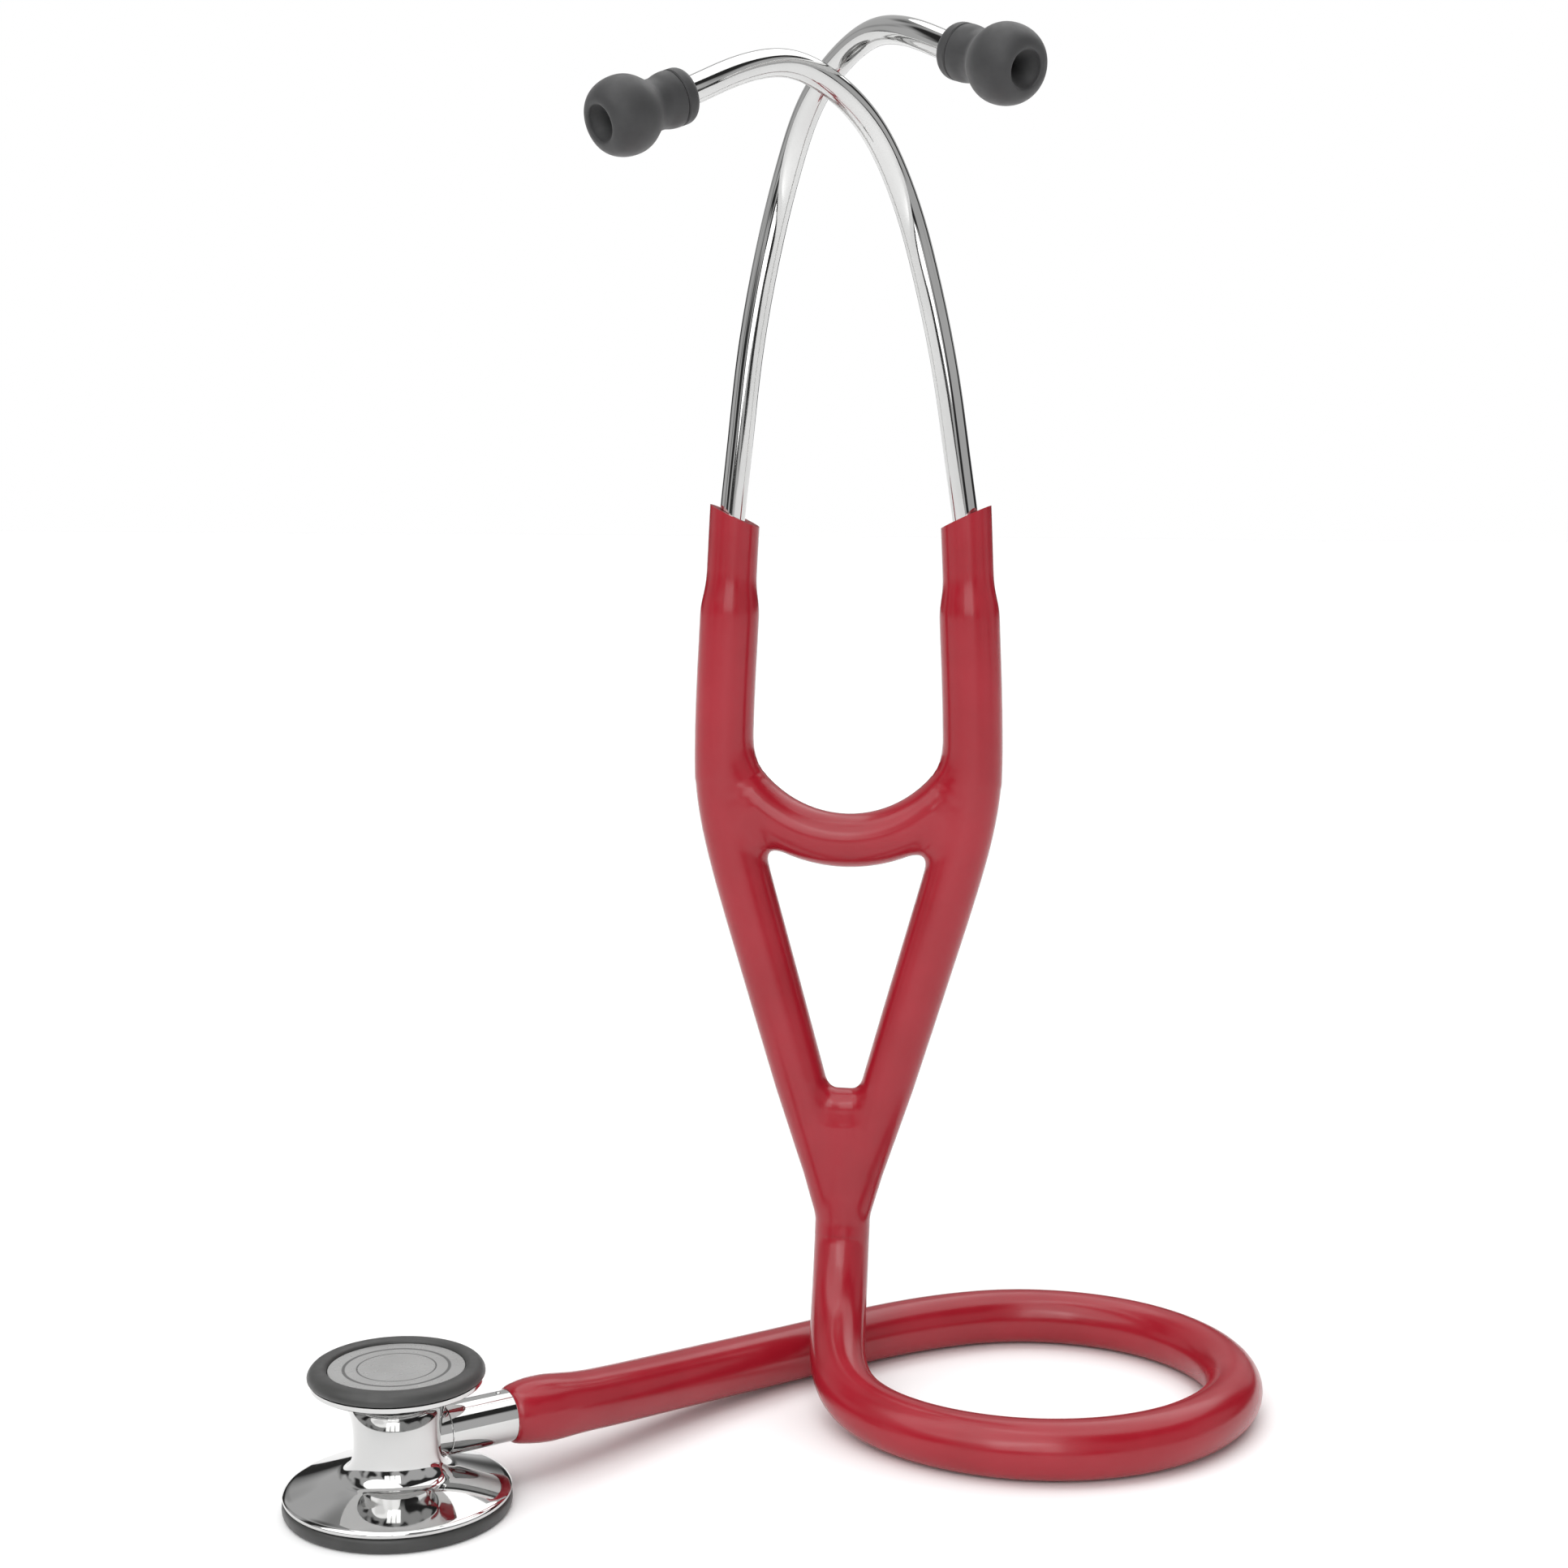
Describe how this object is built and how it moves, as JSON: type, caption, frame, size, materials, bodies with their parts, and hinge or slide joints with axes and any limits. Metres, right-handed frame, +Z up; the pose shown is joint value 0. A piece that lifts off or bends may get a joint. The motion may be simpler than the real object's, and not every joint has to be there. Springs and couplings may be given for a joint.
{
  "type": "stethoscope",
  "caption": "Two-sided stethoscope with a polished rotating chestpiece, one smooth rubber hose, a Y-shaped spring headset and bent steel ear tubes with soft grey tips.",
  "frame": {"origin": "on the surface that the stethoscope stands on, under the middle of the box round everything except the hose", "axes": "+Z up along the headset; the front, towards which the ear tubes bend, faces -Y; the chestpiece lies towards -X"},
  "size_m": [0.202, 0.1247, 0.2939],
  "materials": {
    "burgundy_rubber": "smooth glossy flexible PVC",
    "polished_steel": "mirror polished stainless steel",
    "spring_steel": "plain spring steel",
    "grey_rubber": "soft matte silicone rubber",
    "grey_rim": "satin moulded rim",
    "diaphragm_film": "stiff glass-fibre and epoxy disc, fine satin",
    "seal_rubber": "plain rubber"
  },
  "bodies": {
    "hose_and_yoke": {"yoke": "burgundy_rubber", "spring_bow": "spring_steel", "acoustic_hose": "burgundy_rubber", "stem": "polished_steel", "stem_seal": "seal_rubber", "stem_retaining_ring": "spring_steel", "detent_ball": "spring_steel", "detent_spring": "spring_steel"},
    "chestpiece": {"chestpiece_body": "polished_steel", "adult_rim": "grey_rim", "pediatric_rim": "grey_rim"},
    "adult_disc": {"adult_diaphragm": "diaphragm_film"},
    "pediatric_disc": {"pediatric_diaphragm": "diaphragm_film"},
    "left_arm_group": {"left_arm": "burgundy_rubber", "left_spring_blade": "spring_steel", "left_eartube": "polished_steel", "left_eartip_ring": "grey_rubber", "left_eartip": "grey_rubber"},
    "right_arm_group": {"right_arm": "burgundy_rubber", "right_spring_blade": "spring_steel", "right_eartube": "polished_steel", "right_eartip_ring": "grey_rubber", "right_eartip": "grey_rubber"}
  },
  "joints": [
    {"name": "chestpiece_turn", "type": "hinge", "parent": "hose_and_yoke", "child": "chestpiece", "pos_m": [-0.0505, -0.0302, 0.0135], "axis": [0.8387, 0.5446, 0], "continuous": true},
    {"name": "left_arm_spread", "type": "hinge", "parent": "hose_and_yoke", "child": "left_arm_group", "pos_m": [0.01052, 0.04589, 0.148], "axis": [-0.9063, -0.4226, 0], "range_deg": [0, 30], "stiffness_Nm_per_rad": 1.2},
    {"name": "right_arm_spread", "type": "hinge", "parent": "hose_and_yoke", "child": "right_arm_group", "pos_m": [0.06488, 0.03631, 0.148], "axis": [0.9063, 0.4226, 0], "range_deg": [0, 30], "stiffness_Nm_per_rad": 1.2},
    {"name": "adult_disc_travel", "type": "slide", "parent": "chestpiece", "child": "adult_disc", "axis": [0, 0, 1], "range_m": [0, 0.0004], "stiffness_N_per_m": 8000},
    {"name": "pediatric_disc_travel", "type": "slide", "parent": "chestpiece", "child": "pediatric_disc", "axis": [0, 0, -1], "range_m": [0, 0.0004], "stiffness_N_per_m": 8000}
  ],
  "couplings": [
    {"joint": "right_arm_spread", "follows": "left_arm_spread", "ratio": 1}
  ]
}
